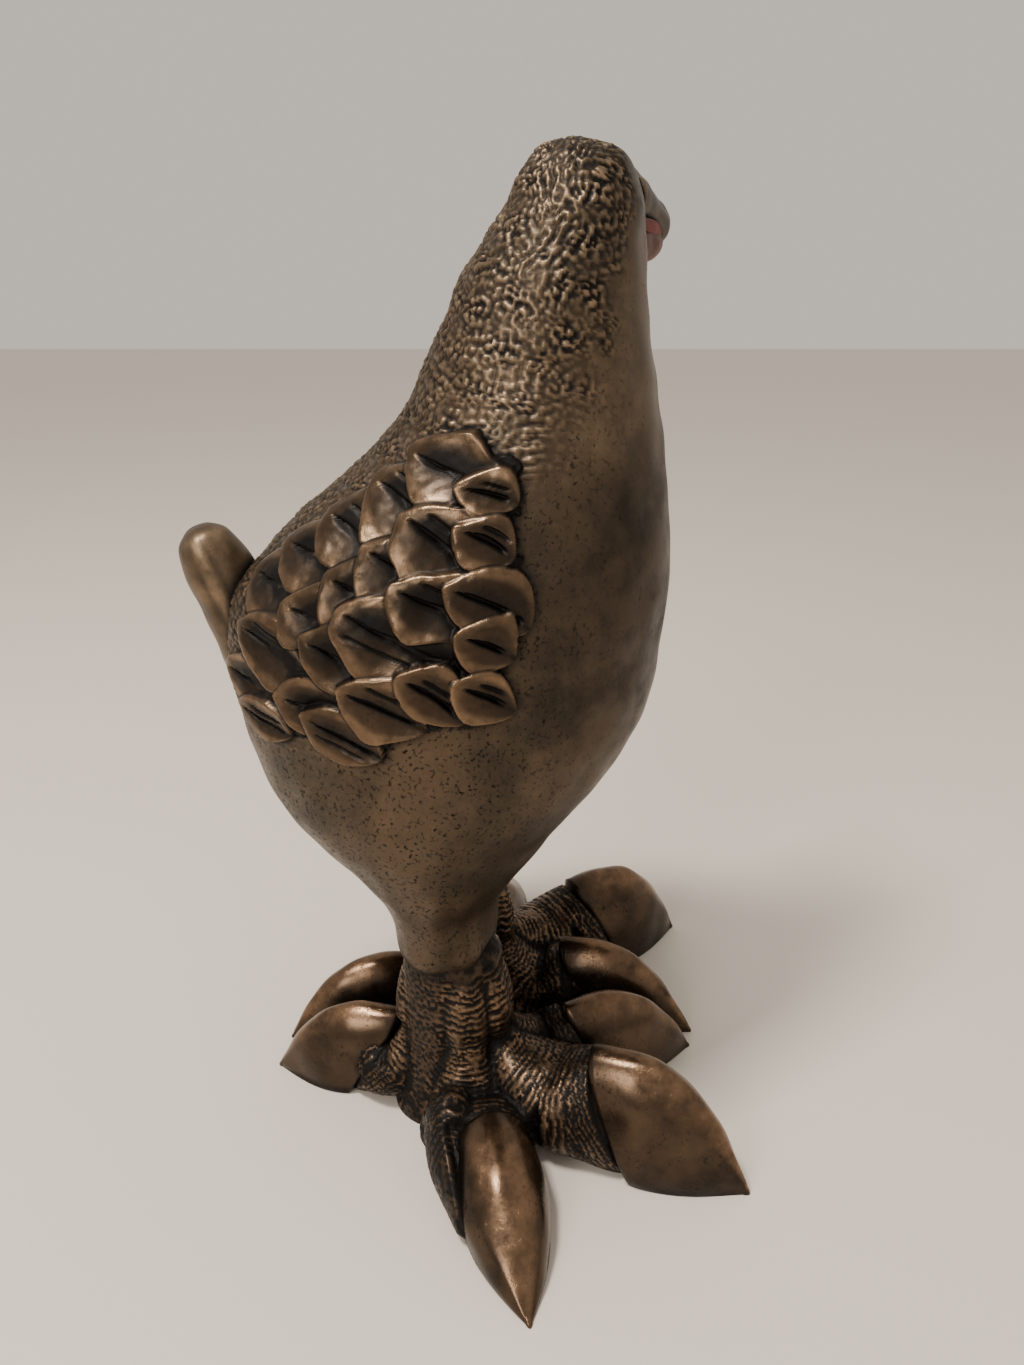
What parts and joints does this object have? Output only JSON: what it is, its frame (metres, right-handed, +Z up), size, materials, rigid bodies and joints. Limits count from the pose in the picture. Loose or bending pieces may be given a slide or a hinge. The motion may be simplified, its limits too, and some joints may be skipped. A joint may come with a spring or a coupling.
{
  "type": "dodo sculpture",
  "caption": "Bronze-finished standing dodo ornament with a turned head, hooked beak, leafy wings, stub tail and splayed clawed feet, standing on its own soles.",
  "frame": {"origin": "centre of the footprint, on the surface that it stands on", "axes": "+Z up, -Y the way the breast faces, +X the bird's left side"},
  "size_m": [0.2684, 0.2102, 0.36],
  "materials": {
    "bronze_patina": "cast bronze with a dark brown patina, near-black in the recesses and rubbed to copper on the ridges, satin on the breast and glossy on the claws",
    "beak_patina": "dull grey-brown patina on the beak",
    "mouth_wax": "dull brick red rubbed along the mouth line",
    "eye_gloss": "glossy black-brown eyes"
  },
  "bodies": {
    "root": {"dodo_sculpture": "bronze_patina"}
  },
  "joints": []
}
